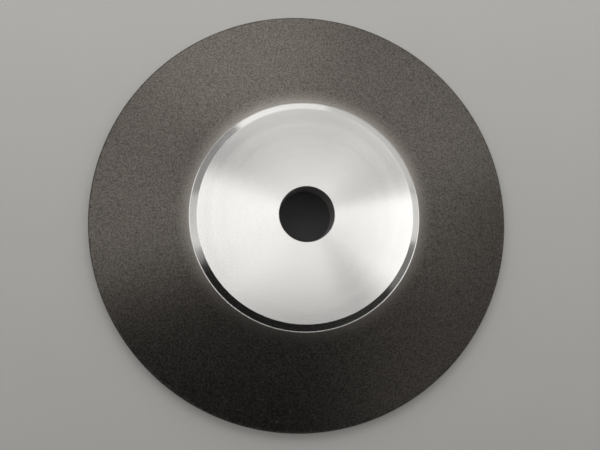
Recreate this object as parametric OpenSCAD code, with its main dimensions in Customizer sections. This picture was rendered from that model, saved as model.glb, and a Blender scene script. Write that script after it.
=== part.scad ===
// Plated diamond grinding wheel with a single-tapered aluminium body.
// Units are millimetres. The wheel lies on its flat back, the arbor axis is +Z,
// and the origin is the centre of the bore in the plane of the back face.

/* [Wheel] */
// Outside diameter over the diamond grit
wheel_d = 200; // [150:5:250]
// Thickness of the hub, from the back face to the front clamping face
hub_t = 15; // [13:0.5:20]
// Thickness of the rim, where the flank would meet it without its round nose
rim_t = 4; // [3:0.1:5]
// Radius of the round nose between the flank and the rim
nose_r = 0.8; // [0.6:0.1:2]

/* [Hub] */
// Diameter of the arbor bore
bore_d = 25.4; // [16:0.1:32]
// Diameter of the flat front clamping face
face_d = 98.6; // [80:0.2:104]
// Width of the bevel round the clamping face, seen from the front
bevel_w = 3.4; // [2:0.1:5]
// Height of that bevel
bevel_h = 2.3; // [1:0.1:4]
// Width of the bare metal land between the bevel and the plating
land_w = 0.3; // [0.2:0.1:1]
// Size of the small 45 degree breaks on the bore's edges
bore_break = 0.2; // [0.1:0.1:0.6]
// Size of the 45 degree break on the rim's back edge
rim_break = 0.5; // [0.3:0.1:1]

/* [Abrasive] */
// Thickness of the nickel that holds the diamonds
bond_t = 0.2; // [0.1:0.05:0.4]
// Height of the diamond grains above the nickel
grit_t = 0.15; // [0.1:0.05:0.3]
// Width of plain nickel left along each edge of the grit
bare_margin = 0.8; // [0.2:0.1:1]
// Bare metal left on the rim between its break and the plating
rim_bare = 0.3; // [0.1:0.1:0.6]

/* [Hidden] */
$fn = 128;
nose_steps = 8;

core_r = wheel_d / 2 - bond_t - grit_t;  // bare body, without plating
bore_r = bore_d / 2;
face_r = face_d / 2;
bevel_foot_r = face_r + bevel_w;
foot_r = bevel_foot_r + land_w;          // where the flank and its plating begin
land_z = hub_t - bevel_h;
taper = atan((land_z - rim_t) / (core_r - foot_r));
down_flank = [cos(taper), -sin(taper)];  // along the flank, towards the rim
off_flank = [sin(taper), cos(taper)];    // square to the flank, outwards

// Centre of the nose, tangent to the flank and to the rim's cylinder
nose_c = [core_r - nose_r, rim_t + nose_r * tan(taper) - nose_r / cos(taper)];
flank_len = (nose_c + nose_r * off_flank - [foot_r, land_z]) * down_flank;
plating_z = rim_break + rim_bare;        // lower edge of the plating on the rim

// A point on the flank in the section plane, a distance down it and a height off it
function on_flank(along, off) = [foot_r, land_z] + along * down_flank + off * off_flank;

// The nose's arc in the section plane, at a height off the bare body
function nose_arc(off) = [
  for (i = [0 : nose_steps])
    let (turn = (90 - taper) * (1 - i / nose_steps))
      nose_c + (nose_r + off) * [cos(turn), sin(turn)]
];

function reversed(list) = [for (i = [len(list) - 1 : -1 : 0]) list[i]];

// A skin on the flank, between two heights off the bare body
module flank_skin(low, high, start) {
  rotate_extrude()
    polygon([
      on_flank(start, low),
      on_flank(flank_len, low),
      on_flank(flank_len, high),
      on_flank(start, high)
    ]);
}

// A skin round the nose and the rim, between two heights off the bare body
module rim_skin(low, high, bottom_z) {
  rotate_extrude()
    polygon(concat(
      nose_arc(low),
      [[core_r + low, bottom_z], [core_r + high, bottom_z]],
      reversed(nose_arc(high))
    ));
}

// Turned aluminium body: hub, bevel, land and tapered web in one piece
module wheel_core() {
  color("silver")
    rotate_extrude()
      polygon(concat(
        [
          [bore_r, bore_break],
          [bore_r, hub_t - bore_break],
          [bore_r + bore_break, hub_t],
          [face_r, hub_t],
          [bevel_foot_r, land_z],
          [foot_r, land_z]
        ],
        nose_arc(0),
        [
          [core_r, rim_break],
          [core_r - rim_break, 0],
          [bore_r + bore_break, 0]
        ]
      ));
}

// Nickel plated over the whole flank
module nickel_bond_flank() {
  color("gray") flank_skin(0, bond_t, 0);
}

// Nickel plated round the nose and the rim
module nickel_bond_rim() {
  color("gray") rim_skin(0, bond_t, plating_z);
}

// Envelope of the single layer of diamond grains on the flank
module diamond_grit_flank() {
  color("dimgray") flank_skin(bond_t, bond_t + grit_t, bare_margin);
}

// Envelope of the single layer of diamond grains round the nose and the rim
module diamond_grit_rim() {
  color("dimgray") rim_skin(bond_t, bond_t + grit_t, plating_z + bare_margin);
}

wheel_core();
nickel_bond_flank();
nickel_bond_rim();
diamond_grit_flank();
diamond_grit_rim();
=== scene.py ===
"""A plated diamond grinding wheel and the small studio it lies in, laid out as an add-on."""

import math

import bpy
from bpy.props import FloatProperty, FloatVectorProperty, IntProperty, PointerProperty
from mathutils import Matrix, Vector


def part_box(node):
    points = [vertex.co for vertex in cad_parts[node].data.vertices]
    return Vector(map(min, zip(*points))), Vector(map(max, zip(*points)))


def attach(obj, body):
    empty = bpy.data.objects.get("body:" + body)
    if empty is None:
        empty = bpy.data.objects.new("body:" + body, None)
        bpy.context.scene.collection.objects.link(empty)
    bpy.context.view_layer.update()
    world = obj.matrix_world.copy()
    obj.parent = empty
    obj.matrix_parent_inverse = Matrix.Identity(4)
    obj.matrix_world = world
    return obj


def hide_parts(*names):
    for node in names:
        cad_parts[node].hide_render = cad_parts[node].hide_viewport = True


bl_info = {
    "name": "Diamond grinding wheel",
    "version": (1, 0, 0),
    "blender": (4, 5, 0),
    "location": "View3D > Sidebar > Wheel",
    "description": "Builds a plated diamond grinding wheel and the studio round it",
    "category": "Add Mesh",
}

MM = 0.001
BODY = "root"
WELD = 1e-7  # points closer than this are one point

# Turning
SEGMENTS = 512  # sides of a full turn on the body
GRIT_SEGMENTS = 720  # sides of a full turn under the grit
FINE_ROUND = 0.04 * MM  # corner radius left by a light touch of a file
HOLD = 0.05 * MM  # how close an extra ring stands to each rounded corner
CORNER_STEPS = 3  # steps round such a corner
NOSE_STEPS = 12  # steps round the nose in the plating
BODY_PITCH = 2.5 * MM  # widest step along the body's outline
PLATING_PITCH = 0.9 * MM  # widest step along the plating's outline
LEANING = 0.5  # least upward part of the bevel's normals
LEVEL = 0.9  # least upward part of the clamping face's and the land's normals

# Plating
LUMP_HEIGHT = 0.04 * MM  # how deep the thick plating's unevenness goes
LUMP_SIZE = 0.5 * MM
NODULE = MM / 6  # size of the fine bumps in the nickel's surface
NODULE_DEPTH = 0.02 * MM
NICKEL_SMOOTH = 0.28  # least roughness of the nickel
NICKEL_ROUGH = 0.42  # and the most
DULL_NICKEL = 0.5  # tone of its darker clumps, as a share of its own

# Grit
CROWDING = 2.5  # candidate places tried in each square of the grain spacing
FLANK_STEPS = 40  # rings under the flank's grit, on which its cover is worked out
GRIT_NOSE_STEPS = 6  # steps round the nose under the grit
CLUMP = 0.8 * MM  # size of the clumps that grains gather in
THIN_BAND = 8 * MM  # width beside the hub over which the grit grows to its full cover
THINNEST = 0.45  # share of the grains that sit right beside the hub
OWN_TONE = 0.2  # how far a grain's tone strays from that of its clump
DARK_BELOW = 0.44  # tone under which a grain is dark
AMBER_BELOW = 0.52  # tone under which a grain is amber
DIAMOND_IOR = 2.42

# Turned metal: each finish's roughness, the depth and pitch of its tool marks, and how far its
# shine stretches across them. The first covers the body, and the other two lie on its front.
FINISHES = {
    "body_metal": {"rough": 0.3, "groove": 0.004 * MM, "pitch": 0.4 * MM, "stretch": 0.6},
    "face_metal": {"rough": 0.22, "groove": 0.0008 * MM, "pitch": 0.5 * MM, "stretch": 0.85},
    "bevel_metal": {"rough": 0.2, "groove": 0.001 * MM, "pitch": 0.4 * MM, "stretch": 0.3},
}
FACED, BEVELLED = 1, 2  # places of the two front finishes among them
BANDS = 0.12  # broad bands in the pitch of the tool marks
ARC_ROWS = 0.5  # rows of short arcs in that pitch
ARC_LENGTHS = 6.0  # how many tool marks start and stop in one turn
ARC_DEPTH = 0.5  # depth of the arcs, as a share of that of the tool marks
BROAD_TONE = 0.35  # how far bands and arcs change the tone
FINE_TONE = 0.3  # how far tool marks change it
ROUGH_SPREAD = 0.15  # how far the roughness strays with the tone

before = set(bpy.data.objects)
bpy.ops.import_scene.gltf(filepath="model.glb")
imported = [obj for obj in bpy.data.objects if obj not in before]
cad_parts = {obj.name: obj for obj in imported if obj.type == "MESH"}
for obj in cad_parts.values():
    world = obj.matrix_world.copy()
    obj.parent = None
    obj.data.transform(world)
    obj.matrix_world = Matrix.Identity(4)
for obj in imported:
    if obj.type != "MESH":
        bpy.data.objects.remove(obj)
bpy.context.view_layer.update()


# ---------------------------------------------------------------- sizes


def rings(node):
    """Every ring of corners on a turned CAD node, as (radius, height), inner ones first."""
    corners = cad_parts[node].data.vertices
    return sorted({(round(c.co.xy.length, 6), round(c.co.z, 6)) for c in corners})


def measured():
    """The wheel's own sizes, read off the rings of its turned nodes."""
    core = rings("wheel_core")
    nickel = rings("nickel_bond_rim")
    hub_t = max(z for r, z in core)
    face_r = max(r for r, z in core if z == hub_t)
    bevel_foot, foot = [ring for ring in core if ring[0] > face_r and ring[1] > 0][:2]
    nose_start = min(rings("nickel_bond_flank"), key=lambda ring: ring[1])
    core_r = max(r for r, z in core)
    slope = (foot[1] - nose_start[1]) / (nose_start[0] - foot[0])
    rim_t = foot[1] - slope * (core_r - foot[0])
    tangent = math.hypot(core_r - nose_start[0], rim_t - nose_start[1])
    nickel_r = max(r for r, z in nickel)
    return {
        "hub_t": hub_t,
        "rim_t": rim_t,
        "bore_r": min(r for r, z in core),
        "bore_break": min(r for r, z in core if z == hub_t) - min(r for r, z in core),
        "face_r": face_r,
        "bevel_foot_r": bevel_foot[0],
        "foot_r": foot[0],
        "land_z": foot[1],
        "core_r": core_r,
        "rim_break": min(z for r, z in core if r == core_r),
        "nose_r": tangent * math.tan((math.pi / 2 + math.atan(slope)) / 2),
        "plating_z": min(z for r, z in nickel),
        "bond_t": nickel_r - core_r,
        "grit_t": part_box("diamond_grit_rim")[1].x - nickel_r,
        "bare_margin": rings("diamond_grit_flank")[0][0] - rings("nickel_bond_flank")[0][0],
    }


SIZES = measured()


def length(name, description, default):
    """A length property, in metres."""
    return FloatProperty(
        name=name,
        description=description,
        default=default,
        min=0.0,
        precision=6,
        unit="LENGTH",
        subtype="DISTANCE",
    )


def share(name, description, default):
    """A size given as a share of another one."""
    return FloatProperty(
        name=name,
        description=description,
        default=default,
        min=0.0,
        max=2.0,
        subtype="FACTOR",
    )


def count(name, description, default):
    """A whole number, at least one."""
    return IntProperty(name=name, description=description, default=default, min=1)


def colour(name, description, default):
    """A colour property without alpha."""
    return FloatVectorProperty(
        name=name,
        description=description,
        default=default,
        min=0.0,
        max=1.0,
        size=3,
        subtype="COLOR",
    )


class WheelSizes(bpy.types.PropertyGroup):
    """Where the wheel's surfaces lie."""

    hub_t: length("Hub thickness", "Back face to front clamping face", SIZES["hub_t"])
    rim_t: length("Rim thickness", "Height at which the flank would meet the rim", SIZES["rim_t"])
    bore_r: length("Bore radius", "Radius of the arbor bore", SIZES["bore_r"])
    bore_break: length("Bore chamfer", "Broken edge at both ends of the bore", SIZES["bore_break"])
    face_r: length("Face radius", "Radius of the front clamping face", SIZES["face_r"])
    bevel_foot_r: length("Bevel foot", "Radius where the hub's bevel ends", SIZES["bevel_foot_r"])
    foot_r: length("Flank start", "Radius where the land meets the flank", SIZES["foot_r"])
    land_z: length("Land height", "Height of the narrow land round the hub", SIZES["land_z"])
    core_r: length("Body radius", "Outside radius of the aluminium", SIZES["core_r"])
    rim_break: length("Rim chamfer", "Broken edge between rim and back face", SIZES["rim_break"])
    nose_r: length("Nose radius", "Round nose between flank and rim", SIZES["nose_r"])
    plating_z: length("Plating edge", "Height where the rim's plating ends", SIZES["plating_z"])
    bond_t: length("Nickel thickness", "Thickness of the nickel bond", SIZES["bond_t"])
    grit_t: length("Grit height", "How far the grain tips stand out of the nickel", SIZES["grit_t"])
    bare_margin: length("Bare nickel", "Nickel without grit beside the hub", SIZES["bare_margin"])


class GritSettings(bpy.types.PropertyGroup):
    """How the diamond grains are made and spread."""

    grain: length("Grain size", "Usual width of one grain", 0.32 * MM)
    spacing: length("Grain spacing", "Closest distance between two grain centres", 0.34 * MM)
    smallest: share("Smallest grain", "Width of the smallest grain beside the usual one", 0.7)
    largest: share("Largest grain", "Width of the largest grain beside the usual one", 1.15)
    sectors: count("Sectors", "Pieces that the flank's grit is made in", 8)
    seed: count("Seed", "Start of every random draw", 7)


class WheelColours(bpy.types.PropertyGroup):
    """Colours of the wheel's materials and of the studio."""

    aluminium: colour("Aluminium", "Freshly turned aluminium", (0.97, 0.965, 0.955))
    shade: colour("Aluminium shade", "Slightly duller rings of the turning", (0.82, 0.815, 0.805))
    nickel: colour("Nickel", "Nickel bond between the grains", (0.15, 0.136, 0.122))
    # Paler nickel beside the hub: partly the plating's own tone, partly painted light thrown off
    # the bevel onto the flank.
    nickel_and_bevel_light: colour("Bright nickel", "Nickel beside the hub", (0.235, 0.22, 0.203))
    pale_grain: colour("Pale grain", "Clear grey diamond", (0.022, 0.02, 0.018))
    amber_grain: colour("Amber grain", "Yellowish diamond", (0.014, 0.012, 0.01))
    dark_grain: colour("Dark grain", "Diamond with dark inclusions", (0.004, 0.0037, 0.0034))
    floor: colour("Floor", "Pale studio floor", (0.55, 0.55, 0.535))


# ---------------------------------------------------------------- outlines


def rounded(outline, steps):
    """A closed outline of (radius, height, corner radius), every corner turned into an arc."""
    points = []
    for index, (x, y, size) in enumerate(outline):
        corner = Vector((x, y))
        before = (Vector(outline[index - 1][:2]) - corner).normalized()
        after = (Vector(outline[(index + 1) % len(outline)][:2]) - corner).normalized()
        half = before.angle(after) / 2
        reach = size / math.tan(half)
        centre = corner + (before + after).normalized() * size / math.sin(half)
        first = corner + before * reach - centre
        last = corner + after * reach - centre
        start = math.atan2(first.y, first.x)
        turn = math.remainder(math.atan2(last.y, last.x) - start, math.tau)
        points.append(corner + before * (reach + HOLD))
        for step in range(steps + 1):
            angle = start + turn * step / steps
            points.append(centre + size * Vector((math.cos(angle), math.sin(angle))))
        points.append(corner + after * (reach + HOLD))
    return points


def spaced(points, pitch):
    """The closed outline with its long runs cut into equal steps of at most pitch."""
    result = []
    for index, point in enumerate(points):
        following = points[(index + 1) % len(points)]
        pieces = max(1, math.ceil((following - point).length / pitch))
        result += [point.lerp(following, piece / pieces) for piece in range(pieces)]
    return result


def taper(sizes):
    """The flank's fall, as an angle."""
    return math.atan2(sizes.land_z - sizes.rim_t, sizes.core_r - sizes.foot_r)


def flank_point(sizes, along, off):
    """A point a distance along the flank from its start, and off it outwards."""
    fall = taper(sizes)
    return Vector(
        (
            sizes.foot_r + along * math.cos(fall) + off * math.sin(fall),
            sizes.land_z - along * math.sin(fall) + off * math.cos(fall),
        )
    )


def flank_length(sizes):
    """Length of the straight flank, up to where the nose begins."""
    fall = taper(sizes)
    whole = math.hypot(sizes.core_r - sizes.foot_r, sizes.land_z - sizes.rim_t)
    return whole - sizes.nose_r / math.tan((math.pi / 2 + fall) / 2)


def rim_line(sizes, off, bottom, steps):
    """Points round the nose and down the rim, a distance off the aluminium."""
    fall = taper(sizes)
    centre = flank_point(sizes, flank_length(sizes), -sizes.nose_r)
    radius = sizes.nose_r + off
    top = math.pi / 2 - fall
    angles = [top * (1 - step / steps) for step in range(steps + 1)]
    arc = [centre + radius * Vector((math.cos(a), math.sin(a))) for a in angles]
    return arc + [Vector((sizes.core_r + off, bottom))]


def body_outline(sizes):
    """The aluminium body's outline, with its corners as arcs."""
    corners = [
        (sizes.bore_r + sizes.bore_break, 0, FINE_ROUND),
        (sizes.core_r - sizes.rim_break, 0, FINE_ROUND),
        (sizes.core_r, sizes.rim_break, FINE_ROUND),
        (sizes.core_r, sizes.rim_t, sizes.nose_r),
        (sizes.foot_r, sizes.land_z, FINE_ROUND),
        (sizes.bevel_foot_r, sizes.land_z, FINE_ROUND),
        (sizes.face_r, sizes.hub_t, FINE_ROUND),
        (sizes.bore_r + sizes.bore_break, sizes.hub_t, FINE_ROUND),
        (sizes.bore_r, sizes.hub_t - sizes.bore_break, FINE_ROUND),
        (sizes.bore_r, sizes.bore_break, FINE_ROUND),
    ]
    return spaced(rounded(corners, CORNER_STEPS), BODY_PITCH)


# ---------------------------------------------------------------- node trees


class Graph:
    """Adds nodes to a tree. An input is given as a value or as another node's output."""

    def __init__(self, tree):
        self.tree = tree

    def add(self, kind, inputs=None, **settings):
        """A new node's first usable output."""
        node = self.tree.nodes.new(kind)
        for name, value in settings.items():
            setattr(node, name, value)
        for key, value in (inputs or {}).items():
            named = [s for s in node.inputs if s.enabled and s.name == key]
            socket = named[0] if named else node.inputs[key]
            if isinstance(value, bpy.types.NodeSocket):
                self.tree.links.new(value, socket)
            else:
                socket.default_value = value
        return next((s for s in node.outputs if s.enabled), node)

    def math(self, operation, *values):
        """The result of a sum on numbers."""
        return self.add("ShaderNodeMath", dict(enumerate(values)), operation=operation)

    def whole(self, operation, *values):
        """The result of a sum on whole numbers."""
        return self.add("FunctionNodeIntegerMath", dict(enumerate(values)), operation=operation)

    def vector(self, operation, *values):
        """The result of a sum on vectors."""
        return self.add("ShaderNodeVectorMath", dict(enumerate(values)), operation=operation)

    def scaled(self, vector, factor):
        """The vector made longer by the factor."""
        inputs = {"Vector": vector, "Scale": factor}
        return self.add("ShaderNodeVectorMath", inputs, operation="SCALE")

    def parts(self, vector):
        """The vector's X, Y and Z."""
        return self.add("ShaderNodeSeparateXYZ", {0: vector}).node.outputs

    def spoke(self, place):
        """The level vector from the axis to a place, and its length."""
        parts = self.parts(place)
        level = self.add("ShaderNodeCombineXYZ", {"X": parts["X"], "Y": parts["Y"]})
        return level, self.vector("LENGTH", level).node.outputs["Value"]

    def noise(self, scale, detail, place=None):
        """Smooth noise with so many lumps in a metre, at the place or at each point."""
        inputs = {"Scale": scale, "Detail": detail}
        if place is not None:
            inputs["Vector"] = place
        return self.add("ShaderNodeTexNoise", inputs)

    def rings(self, scale, detail, along):
        """Noise that changes only with one distance, with so many rings in a metre."""
        inputs = {"W": along, "Scale": scale, "Detail": detail}
        return self.add("ShaderNodeTexNoise", inputs, noise_dimensions="1D")


def between(graph, factor, low, high):
    """A number that runs from low to high with the factor."""
    return graph.add("ShaderNodeMapRange", {"Value": factor, "To Min": low, "To Max": high})


def thinness(graph, radius, start, band):
    """How thin the grit is at a radius: 1 beside the hub, falling off to 0 across the band."""
    past = graph.math("DIVIDE", graph.math("SUBTRACT", radius, start), band)
    left = graph.math("MAXIMUM", graph.math("SUBTRACT", 1.0, past), 0.0)
    return graph.math("MULTIPLY", left, left)


def shape_tree(name, inputs):
    """An empty geometry tree with named inputs: its graph, and the input node's outputs."""
    tree = bpy.data.node_groups.new(name, "GeometryNodeTree")
    panel = tree.interface
    panel.new_socket("Geometry", in_out="INPUT", socket_type="NodeSocketGeometry")
    for label, kind, default in inputs:
        socket = panel.new_socket(label, in_out="INPUT", socket_type="NodeSocket" + kind)
        if default is not None:
            socket.default_value = default
    panel.new_socket("Geometry", in_out="OUTPUT", socket_type="NodeSocketGeometry")
    graph = Graph(tree)
    return graph, graph.add("NodeGroupInput").node.outputs


LATHE_INPUTS = [
    ("Segments", "Int", 360),
    ("Closed", "Bool", True),
    ("Start angle", "Float", 0.0),
    ("Sweep angle", "Float", math.tau),
]


def lathe_tree():
    """Turns an outline of points in the XZ plane about Z. It is built once and then shared."""
    if "Lathe" in bpy.data.node_groups:
        return bpy.data.node_groups["Lathe"]
    graph, given = shape_tree("Lathe", LATHE_INPUTS)
    count = graph.add("GeometryNodeAttributeDomainSize", {0: given["Geometry"]})
    rows = graph.whole("ADD", count, given["Closed"])
    columns = graph.whole("ADD", given["Segments"], 1)
    grid = graph.add("GeometryNodeMeshGrid", {"Vertices X": columns, "Vertices Y": rows})
    index = graph.add("GeometryNodeInputIndex")
    outline_point = graph.add(
        "GeometryNodeSampleIndex",
        {
            "Geometry": given["Geometry"],
            "Value": graph.add("GeometryNodeInputPosition"),
            "Index": graph.whole("MODULO", graph.whole("MODULO", index, rows), count),
        },
        data_type="FLOAT_VECTOR",
        domain="POINT",
    )
    parts = graph.parts(outline_point)
    share = graph.math("DIVIDE", graph.whole("DIVIDE_FLOOR", index, rows), given["Segments"])
    angle = graph.math("MULTIPLY_ADD", share, given["Sweep angle"], given["Start angle"])
    turned = graph.add(
        "ShaderNodeCombineXYZ",
        {
            "X": graph.math("MULTIPLY", parts["X"], graph.math("COSINE", angle)),
            "Y": graph.math("MULTIPLY", parts["X"], graph.math("SINE", angle)),
            "Z": parts["Z"],
        },
    )
    shaped = graph.add("GeometryNodeSetPosition", {"Geometry": grid, "Position": turned})
    welded = graph.add("GeometryNodeMergeByDistance", {"Geometry": shaped, "Distance": WELD})
    graph.add("NodeGroupOutput", {0: welded})
    return graph.tree


def lathed(graph, given, lathe):
    """The Lathe tree as a node of another tree, which passes its own inputs on."""
    node = graph.tree.nodes.new("GeometryNodeGroup")
    node.node_tree = lathe
    for label in ["Geometry"] + [row[0] for row in LATHE_INPUTS]:
        graph.tree.links.new(given[label], node.inputs[label])
    return node.outputs[0]


def end_tree(graph, shape, smooth, *painted):
    """Realizes the shape and gives it its materials, each on its own selection."""
    shape = graph.add("GeometryNodeRealizeInstances", {"Geometry": shape})
    shape = graph.add("GeometryNodeSetShadeSmooth", {"Geometry": shape, "Shade Smooth": smooth})
    for selection, material in painted:
        shape = graph.add(
            "GeometryNodeSetMaterial",
            {"Geometry": shape, "Selection": selection, "Material": material},
        )
    graph.add("NodeGroupOutput", {0: shape})
    return graph.tree


def turned_tree(lathe):
    """A smooth turned piece of one material."""
    graph, given = shape_tree("Turned piece", LATHE_INPUTS + [("Material", "Material", None)])
    return end_tree(graph, lathed(graph, given, lathe), True, (True, given["Material"]))


def plated_tree(lathe):
    """A turned skin whose surface is slightly lumpy, as thick plating grows."""
    graph, given = shape_tree(
        "Plated skin",
        LATHE_INPUTS
        + [
            ("Lump height", "Float", 0.0),
            ("Lump size", "Float", MM),
            ("Material", "Material", None),
        ],
    )
    skin = lathed(graph, given, lathe)
    lumps = graph.noise(graph.math("DIVIDE", 1.0, given["Lump size"]), 2.0)
    # The lumps hang down from the skin, so that it stays inside its full thickness.
    height = graph.math("MULTIPLY", graph.math("SUBTRACT", lumps, 1.0), given["Lump height"])
    offset = graph.scaled(graph.add("GeometryNodeInputNormal"), height)
    lumpy = graph.add("GeometryNodeSetPosition", {"Geometry": skin, "Offset": offset})
    return end_tree(graph, lumpy, True, (True, given["Material"]))


def crystal(graph, kind, inputs):
    """One grain form, a grain wide, as an instance to pick."""
    form = graph.add(kind, inputs)
    return graph.add("GeometryNodeGeometryToInstance", {0: form})


def grit_tree(lathe):
    """Sets crystals of diamond side by side over a turned surface."""
    graph, given = shape_tree(
        "Diamond grit",
        LATHE_INPUTS
        + [
            ("Spacing", "Float", 0.3 * MM),
            ("Smallest grain", "Float", 0.2 * MM),
            ("Largest grain", "Float", 0.4 * MM),
            ("Clump size", "Float", MM),
            ("Thin from", "Float", 0.0),
            ("Thin band", "Float", MM),
            ("Seed", "Int", 0),
            ("Pale grain", "Material", None),
            ("Amber grain", "Material", None),
            ("Dark grain", "Material", None),
        ],
    )
    seed = given["Seed"]
    spacing = given["Spacing"]
    crowd = graph.math("DIVIDE", CROWDING, graph.math("MULTIPLY", spacing, spacing))
    _, radius = graph.spoke(graph.add("GeometryNodeInputPosition"))
    thin = thinness(graph, radius, given["Thin from"], given["Thin band"])
    cover = between(graph, thin, 1.0, THINNEST)
    points = graph.add(
        "GeometryNodeDistributePointsOnFaces",
        {
            "Mesh": lathed(graph, given, lathe),
            "Distance Min": spacing,
            "Density Max": crowd,
            "Density Factor": cover,
            "Seed": seed,
        },
        distribute_method="POISSON",
    )
    block = 1 / math.sqrt(3)
    forms = graph.tree.nodes.new("GeometryNodeJoinGeometry")
    for form in (
        crystal(graph, "GeometryNodeMeshUVSphere", {"Segments": 4, "Rings": 2, "Radius": 0.5}),
        crystal(graph, "GeometryNodeMeshUVSphere", {"Segments": 3, "Rings": 2, "Radius": 0.5}),
        crystal(graph, "GeometryNodeMeshCube", {"Size": (block, block, block)}),
    ):
        graph.tree.links.new(form, forms.inputs[0])
    turn = graph.add(
        "FunctionNodeRandomValue",
        {"Min": (0, 0, 0), "Max": (math.tau, math.tau, math.tau), "Seed": seed},
        data_type="FLOAT_VECTOR",
    )
    widths = graph.add(
        "FunctionNodeRandomValue",
        {
            "Min": given["Smallest grain"],
            "Max": given["Largest grain"],
            "Seed": graph.whole("ADD", seed, 1),
        },
        data_type="FLOAT_VECTOR",
    )
    pick = graph.add(
        "FunctionNodeRandomValue",
        {"Min": 0, "Max": 2, "Seed": graph.whole("ADD", seed, 2)},
        data_type="INT",
    )
    grains = graph.add(
        "GeometryNodeInstanceOnPoints",
        {
            "Points": points,
            "Instance": forms.outputs[0],
            "Pick Instance": True,
            "Instance Index": pick,
            "Rotation": graph.add("FunctionNodeEulerToRotation", {0: turn}),
            "Scale": widths,
        },
    )
    own = graph.add(
        "FunctionNodeRandomValue",
        {"Min": -0.5, "Max": 0.5, "Seed": graph.whole("ADD", seed, 3)},
        data_type="FLOAT",
    )
    clumps = graph.noise(graph.math("DIVIDE", 1.0, given["Clump size"]), 1.0)
    tone = graph.math("MULTIPLY_ADD", own, OWN_TONE, clumps)
    toned = graph.add(
        "GeometryNodeStoreNamedAttribute",
        {"Geometry": grains, "Name": "tone", "Value": tone},
        data_type="FLOAT",
        domain="INSTANCE",
    )
    stored = graph.add("GeometryNodeInputNamedAttribute", {"Name": "tone"}, data_type="FLOAT")

    def under(limit):
        """Picks the grains whose tone is less than the limit."""
        return graph.add(
            "FunctionNodeCompare",
            {"A": stored, "B": limit},
            data_type="FLOAT",
            operation="LESS_THAN",
        )

    return end_tree(
        graph,
        toned,
        False,
        (True, given["Pale grain"]),
        (under(AMBER_BELOW), given["Amber grain"]),
        (under(DARK_BELOW), given["Dark grain"]),
    )


# ---------------------------------------------------------------- materials


def shader(name):
    """A new material: itself, its graph and its shader's inputs."""
    material = bpy.data.materials.new(name)
    material.use_nodes = True
    surface = material.node_tree.nodes["Principled BSDF"].inputs
    return material, Graph(material.node_tree), surface


def opaque(tint):
    """A plain colour with its alpha. A node's output is passed on as it is."""
    return tint if isinstance(tint, bpy.types.NodeSocket) else (*tint, 1)


def mixed(graph, factor, first, second):
    """A colour that runs from the first to the second with the factor."""
    inputs = {"Factor": factor, "A": opaque(first), "B": opaque(second)}
    return graph.add("ShaderNodeMix", inputs, data_type="RGBA")


def turned_aluminium(name, colours, rough, groove, pitch, stretch):
    """Turned metal: fine rings round the axis, broader bands, and short arcs between them."""
    material, graph, surface = shader(name)
    place = graph.add("ShaderNodeTexCoord").node.outputs["Object"]
    spoke, radius = graph.spoke(place)
    outward = graph.vector("NORMALIZE", spoke)
    # Height joins in, so that rings also run up a bevel or a bore wall.
    along = graph.math("ADD", radius, graph.parts(place)["Z"])
    fine = graph.rings(1 / pitch, 2.0, along)
    bands = graph.rings(BANDS / pitch, 3.0, along)
    arc_place = graph.add(
        "ShaderNodeCombineXYZ",
        {
            "X": graph.math("MULTIPLY", graph.parts(outward)["X"], ARC_LENGTHS),
            "Y": graph.math("MULTIPLY", graph.parts(outward)["Y"], ARC_LENGTHS),
            "Z": graph.math("MULTIPLY", along, ARC_ROWS / pitch),
        },
    )
    arcs = graph.noise(1.0, 2.0, arc_place)
    fine_tone = graph.math("MULTIPLY", fine, FINE_TONE)
    tone = graph.math("MULTIPLY_ADD", graph.math("ADD", bands, arcs), BROAD_TONE, fine_tone)
    dulled = between(graph, tone, rough * (1 - ROUGH_SPREAD), rough * (1 + ROUGH_SPREAD))
    height = graph.math("MULTIPLY_ADD", arcs, ARC_DEPTH, fine)
    marks = {"Height": height, "Distance": groove, "Strength": 1.0}
    links = graph.tree.links.new
    links(mixed(graph, tone, colours.shade, colours.aluminium), surface["Base Color"])
    links(dulled, surface["Roughness"])
    links(graph.add("ShaderNodeBump", marks), surface["Normal"])
    links(outward, surface["Tangent"])
    surface["Metallic"].default_value = 1.0
    surface["Anisotropic"].default_value = stretch
    return material


def plated_nickel(colours, foot_r):
    """Satin nickel with fine nodules and clumps of tone, painted paler beside the hub: partly its
    own tone, partly painted light thrown off the bevel.
    """
    material, graph, surface = shader("nickel_deposit")
    place = graph.add("ShaderNodeTexCoord").node.outputs["Object"]
    nodules = graph.noise(1 / NODULE, 3.0, place)
    clumps = graph.noise(1 / CLUMP, 1.0, place)
    # The noise seldom leaves this middle range, so it is stretched to full contrast.
    crowded = graph.add("ShaderNodeMapRange", {"Value": clumps, "From Min": 0.3, "From Max": 0.7})
    dull = [DULL_NICKEL * c for c in colours.nickel]
    tint = mixed(graph, crowded, dull, colours.nickel)
    _, radius = graph.spoke(place)
    thin = thinness(graph, radius, foot_r, THIN_BAND)
    bumps = {"Height": nodules, "Distance": NODULE_DEPTH, "Strength": 1.0}
    links = graph.tree.links.new
    # Painted light, in part: the nickel turns paler towards the hub, partly its own tone, partly
    # light thrown off the bevel.
    links(mixed(graph, thin, tint, colours.nickel_and_bevel_light), surface["Base Color"])
    links(between(graph, nodules, NICKEL_SMOOTH, NICKEL_ROUGH), surface["Roughness"])
    links(graph.add("ShaderNodeBump", bumps), surface["Normal"])
    surface["Metallic"].default_value = 1.0
    return material


def diamond(name, tint, rough, shine):
    """Dark, hard crystal. Its look comes from its facets, so it has no pattern."""
    material, _, surface = shader(name)
    surface["Base Color"].default_value = opaque(tint)
    surface["Roughness"].default_value = rough
    surface["IOR"].default_value = DIAMOND_IOR
    surface["Specular IOR Level"].default_value = shine
    return material


# ---------------------------------------------------------------- making pieces


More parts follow.
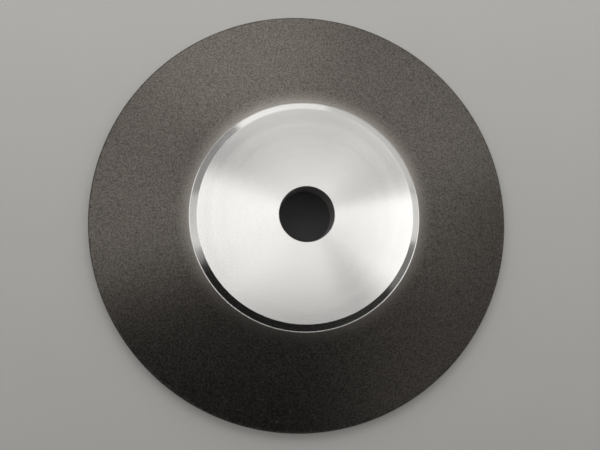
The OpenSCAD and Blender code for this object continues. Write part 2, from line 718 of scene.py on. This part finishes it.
def made(name, outline, tree, **given):
    """A finished piece: the outline put through a node tree, as a plain mesh."""
    line = bpy.data.meshes.new(name + "_outline")
    line.from_pydata([(x, 0, z) for x, z in outline], [], [])
    piece = bpy.data.objects.new(name, line)
    bpy.context.scene.collection.objects.link(piece)
    modifier = piece.modifiers.new("Shape", "NODES")
    modifier.node_group = tree
    labels = {s.name: s.identifier for s in tree.interface.items_tree if s.in_out == "INPUT"}
    for label, value in given.items():
        modifier[labels[label.replace("_", " ").capitalize()]] = value
    graph = bpy.context.evaluated_depsgraph_get()
    mesh = bpy.data.meshes.new_from_object(piece.evaluated_get(graph), depsgraph=graph)
    piece.modifiers.remove(modifier)
    piece.data = mesh
    mesh.name = name
    bpy.data.meshes.remove(line)
    mesh.materials.pop(index=0)  # the empty slot that the tree starts with
    if "tone" in mesh.attributes:
        mesh.attributes.remove(mesh.attributes["tone"])
    return piece


def hand_over(piece, node):
    """The piece rides on the wheel's body and stands for its CAD node."""
    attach(piece, BODY)
    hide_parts(node)


# ---------------------------------------------------------------- pieces


class WHEEL_OT_body(bpy.types.Operator):
    """Turns the aluminium body: back, rim, hub, bevel and bore"""

    bl_idname = "wheel.body"
    bl_label = "Turn the body"

    def execute(self, context):
        sizes = context.scene.wheel_sizes
        colours = context.scene.wheel_colours
        metals = [turned_aluminium(name, colours, **how) for name, how in FINISHES.items()]
        body = made(
            "turned_body",
            body_outline(sizes),
            turned_tree(lathe_tree()),
            segments=SEGMENTS,
            material=metals[0],
        )
        for metal in metals[1:]:
            body.data.materials.append(metal)
        edge = FINE_ROUND + HOLD
        for side in body.data.polygons:
            radius = side.center.xy.length
            upward = side.normal.z
            if upward > LEANING and sizes.face_r - edge < radius < sizes.bevel_foot_r + edge:
                side.material_index = BEVELLED
            elif upward > LEVEL and radius < sizes.foot_r:
                side.material_index = FACED
        hand_over(body, "wheel_core")
        return {"FINISHED"}


class WHEEL_OT_plating(bpy.types.Operator):
    """Plates the flank and the rim with nickel"""

    bl_idname = "wheel.plating"
    bl_label = "Plate the flank and rim"

    def execute(self, context):
        sizes = context.scene.wheel_sizes
        metal = plated_nickel(context.scene.wheel_colours, sizes.foot_r)
        tree = plated_tree(lathe_tree())
        end = flank_length(sizes)
        flank = [
            (*flank_point(sizes, 0, 0), 0),
            (*flank_point(sizes, end, 0), 0),
            (*flank_point(sizes, end, sizes.bond_t), 0),
            (*flank_point(sizes, 0, sizes.bond_t), sizes.bond_t / 2),
        ]
        inside = rim_line(sizes, 0, sizes.plating_z, NOSE_STEPS)
        outside = rim_line(sizes, sizes.bond_t, sizes.plating_z, NOSE_STEPS)
        outlines = {
            "flank": spaced(rounded(flank, CORNER_STEPS), PLATING_PITCH),
            "rim": inside + outside[::-1],
        }
        for part, outline in outlines.items():
            skin = made(
                "nickel_plating_" + part,
                outline,
                tree,
                segments=GRIT_SEGMENTS,
                lump_height=LUMP_HEIGHT,
                lump_size=LUMP_SIZE,
                material=metal,
            )
            hand_over(skin, "nickel_bond_" + part)
        return {"FINISHED"}


class WHEEL_OT_grit(bpy.types.Operator):
    """Sets the diamond grains over the flank and the rim"""

    bl_idname = "wheel.grit"
    bl_label = "Set the diamond grit"

    def execute(self, context):
        sizes = context.scene.wheel_sizes
        grit = context.scene.wheel_grit
        colours = context.scene.wheel_colours
        tree = grit_tree(lathe_tree())
        biggest = grit.grain * grit.largest
        # Grain centres lie so deep that the largest grains just reach the tips' envelope.
        off = sizes.bond_t + sizes.grit_t - biggest / 2
        shared = {
            "closed": False,
            "spacing": grit.spacing,
            "smallest_grain": grit.grain * grit.smallest,
            "largest_grain": biggest,
            "clump_size": CLUMP,
            "thin_from": sizes.foot_r + sizes.bare_margin,
            "thin_band": THIN_BAND,
            "pale_grain": diamond("pale_diamond", colours.pale_grain, rough=0.35, shine=0.3),
            "amber_grain": diamond("amber_diamond", colours.amber_grain, rough=0.35, shine=0.15),
            "dark_grain": diamond("dark_diamond", colours.dark_grain, rough=0.4, shine=0.05),
        }
        start = sizes.bare_margin + biggest / 2
        reach = flank_length(sizes) - start
        steps = range(FLANK_STEPS + 1)
        flank = [flank_point(sizes, start + reach * step / FLANK_STEPS, off) for step in steps]
        sweep = math.tau / grit.sectors
        for sector in range(grit.sectors):
            grains = made(
                f"diamond_grains_flank_{sector + 1}",
                flank,
                tree,
                segments=GRIT_SEGMENTS // grit.sectors,
                start_angle=sector * sweep,
                sweep_angle=sweep,
                seed=grit.seed + 10 * sector,
                **shared,
            )
            hand_over(grains, "diamond_grit_flank")
        rim = rim_line(sizes, off, sizes.plating_z + biggest / 2, GRIT_NOSE_STEPS)
        grains = made(
            "diamond_grains_rim",
            rim,
            tree,
            segments=GRIT_SEGMENTS,
            seed=grit.seed - 1,
            **shared,
        )
        hand_over(grains, "diamond_grit_rim")
        return {"FINISHED"}


# ---------------------------------------------------------------- studio

# Softboxes round the wheel: azimuth and elevation of the centre, then width and height, all in
# degrees as seen from the wheel, and brightness. The near side is dim, so that the grit and the
# bevel fall into shade there.
SOFTBOXES = {
    "top": (90, 87.5, 22, 22, 1.15),
    "far_roof": (72, 63, 56, 22, 0.45),
    "left_roof": (172, 63, 27, 22, 1.3),
    "right_roof": (4, 63, 17, 22, 1.4),
    "near_roof": (334, 63, 14, 22, 0.5),
    "far_high": (105, 43, 44, 18, 2.2),
    "right_high": (45, 43, 44, 18, 1.45),
    "left_high": (165, 43, 44, 18, 1.45),
    "edge_high": (0, 43, 22, 18, 0.7),
    "far_middle": (105, 25, 54, 18, 1.4),
    "right_middle": (45, 25, 54, 18, 0.95),
    "left_middle": (165, 25, 54, 18, 0.65),
    "far_low": (98, 8, 45, 16, 0.95),
    "right_low": (47, 8, 58, 16, 0.62),
    "edge_low": (5, 8, 24, 16, 0.8),
    "edge_fade": (340, 8, 26, 16, 0.17),
    "left_low": (182, 8, 38, 16, 0.55),
    "left_corner": (142, 8, 40, 16, 0.17),
    "near_roof_middle": (270, 60, 60, 18, 0.08),
    "near_right_high": (318, 36, 44, 16, 0.5),
    "near_low": (270, 2, 100, 4, 0.15),
}
SOFTBOX_TINT = (1.0, 0.985, 0.965)
SOFTBOX_DISTANCE = 0.7  # metres, as all lengths here
AIR_LIGHT = (0.006, 0.006, 0.006)  # what the room itself adds to the light
BACKDROP = (0.32, 0.32, 0.31)  # what shows past the floor's edge
FLOOR_RADIUS = 0.62
FLOOR_DROP = 0.2 * MM  # how far the floor lies under the back face
FLOOR_ROUGH = 0.8
MOTTLE = 25 * MM  # size of the floor's faint mottle
MOTTLE_SHADE = 0.97  # its darker tone, as a share of the floor's colour
# Painted shade: a near-black disc under the bore stands in for the deep shade seen through it; the
# hub hides it everywhere else.
SHADE_PAD_SHARE = 1.6  # radius of the painted shade pad, as a share of the bore's
SHADE_PAD_DROP = 0.1 * MM
SHADE_PAD_COLOUR = (0.032, 0.032, 0.033)
SHADE_PAD_ROUGH = 0.9
DISC_SIDES = 96
CAMERA_PLACE = Vector((-21.2, -24.1, 216.4)) * MM
CAMERA_AIM = Vector((-2.21, -3.91, 3.5)) * MM
CAMERA_LENS = 26.97  # focal length in millimetres
CAMERA_NEAR = 10 * MM  # nothing closer than this is drawn


def softbox(name, azimuth, elevation, wide, high, brightness):
    """An area light that faces the wheel's middle."""
    lamp = bpy.data.lights.new(name, "AREA")
    lamp.shape = "RECTANGLE"
    lamp.size = 2 * SOFTBOX_DISTANCE * math.tan(math.radians(wide) / 2)
    lamp.size_y = 2 * SOFTBOX_DISTANCE * math.tan(math.radians(high) / 2)
    lamp.energy = brightness * math.pi * lamp.size * lamp.size_y
    lamp.color = SOFTBOX_TINT
    holder = bpy.data.objects.new(name, lamp)
    turn = math.radians(azimuth)
    rise = math.radians(elevation)
    towards = Vector(
        (math.cos(rise) * math.cos(turn), math.cos(rise) * math.sin(turn), math.sin(rise))
    )
    holder.location = SOFTBOX_DISTANCE * towards
    holder.rotation_euler = (-towards).to_track_quat("-Z", "Y").to_euler()
    holder.visible_camera = False
    bpy.context.scene.collection.objects.link(holder)
    return holder


def floor_material(colours):
    """Pale matt board with a faint mottle."""
    material, graph, surface = shader("studio_floor")
    place = graph.add("ShaderNodeTexCoord").node.outputs["Object"]
    mottle = graph.noise(1 / MOTTLE, 3.0, place)
    darker = [MOTTLE_SHADE * c for c in colours.floor]
    graph.tree.links.new(mixed(graph, mottle, darker, colours.floor), surface["Base Color"])
    surface["Roughness"].default_value = FLOOR_ROUGH
    return material


def disc(name, radius, height, material):
    """A flat round sheet of the studio."""
    mesh = bpy.data.meshes.new(name)
    angles = [math.tau * side / DISC_SIDES for side in range(DISC_SIDES)]
    corners = [(radius * math.cos(a), radius * math.sin(a), height) for a in angles]
    mesh.from_pydata(corners, [], [range(DISC_SIDES)])
    mesh.materials.append(material)
    sheet = bpy.data.objects.new(name, mesh)
    bpy.context.scene.collection.objects.link(sheet)
    return sheet


class WHEEL_OT_studio(bpy.types.Operator):
    """Lays the floor and sets the lights and the camera"""

    bl_idname = "wheel.studio"
    bl_label = "Set up the studio"

    def execute(self, context):
        scene = context.scene
        colours = scene.wheel_colours
        disc("studio_floor", FLOOR_RADIUS, -FLOOR_DROP, floor_material(colours))
        # Painted shade: a dark disc under the bore, so that the bore shows shade instead of lit
        # floor.
        shade_pad, _, surface = shader("painted_shade_pad")
        surface["Base Color"].default_value = opaque(SHADE_PAD_COLOUR)
        surface["Roughness"].default_value = SHADE_PAD_ROUGH
        disc("painted_shade_pad", SHADE_PAD_SHARE * scene.wheel_sizes.bore_r, -SHADE_PAD_DROP, shade_pad)
        for name, values in SOFTBOXES.items():
            softbox(name, *values)
        world = bpy.data.worlds.new("studio_air")
        world.use_nodes = True
        air = Graph(world.node_tree)
        ray = air.add("ShaderNodeLightPath").node.outputs["Is Camera Ray"]
        background = world.node_tree.nodes["Background"].inputs
        world.node_tree.links.new(mixed(air, ray, AIR_LIGHT, BACKDROP), background["Color"])
        scene.world = world
        scene.view_settings.view_transform = "Standard"
        camera = bpy.data.cameras.new("camera")
        camera.lens = CAMERA_LENS
        holder = bpy.data.objects.new("camera", camera)
        forward = (CAMERA_AIM - CAMERA_PLACE).normalized()
        right = forward.cross(Vector((0, 1, 0))).normalized()
        turn = Matrix((right, right.cross(forward), -forward)).transposed()
        holder.matrix_world = Matrix.LocRotScale(CAMERA_PLACE, turn.to_quaternion(), None)
        camera.clip_start = CAMERA_NEAR
        scene.collection.objects.link(holder)
        scene.camera = holder
        return {"FINISHED"}


class WHEEL_PT_panel(bpy.types.Panel):
    """Lists the wheel's steps and settings in the sidebar"""

    bl_idname = "WHEEL_PT_panel"
    bl_label = "Diamond grinding wheel"
    bl_space_type = "VIEW_3D"
    bl_region_type = "UI"
    bl_category = "Wheel"

    def draw(self, context):
        for step in STEPS:
            self.layout.operator(step.bl_idname)
        for group in GROUPS:
            settings = getattr(context.scene, group)
            box = self.layout.box()
            for name in GROUPS[group].__annotations__:
                box.prop(settings, name)


GROUPS = {"wheel_sizes": WheelSizes, "wheel_grit": GritSettings, "wheel_colours": WheelColours}
STEPS = (WHEEL_OT_studio, WHEEL_OT_body, WHEEL_OT_plating, WHEEL_OT_grit)


def register():
    """Makes the settings, the steps and the panel known to Blender."""
    for kind in (*GROUPS.values(), *STEPS, WHEEL_PT_panel):
        bpy.utils.register_class(kind)
    for name, kind in GROUPS.items():
        setattr(bpy.types.Scene, name, PointerProperty(type=kind))


def unregister():
    """Takes them out again."""
    for name in GROUPS:
        delattr(bpy.types.Scene, name)
    for kind in (WHEEL_PT_panel, *STEPS[::-1], *GROUPS.values()):
        bpy.utils.unregister_class(kind)


def main():
    """Builds the studio and the wheel."""
    register()
    bpy.ops.wheel.studio()
    bpy.ops.wheel.body()
    bpy.ops.wheel.plating()
    bpy.ops.wheel.grit()


if __name__ == "__main__":
    main()
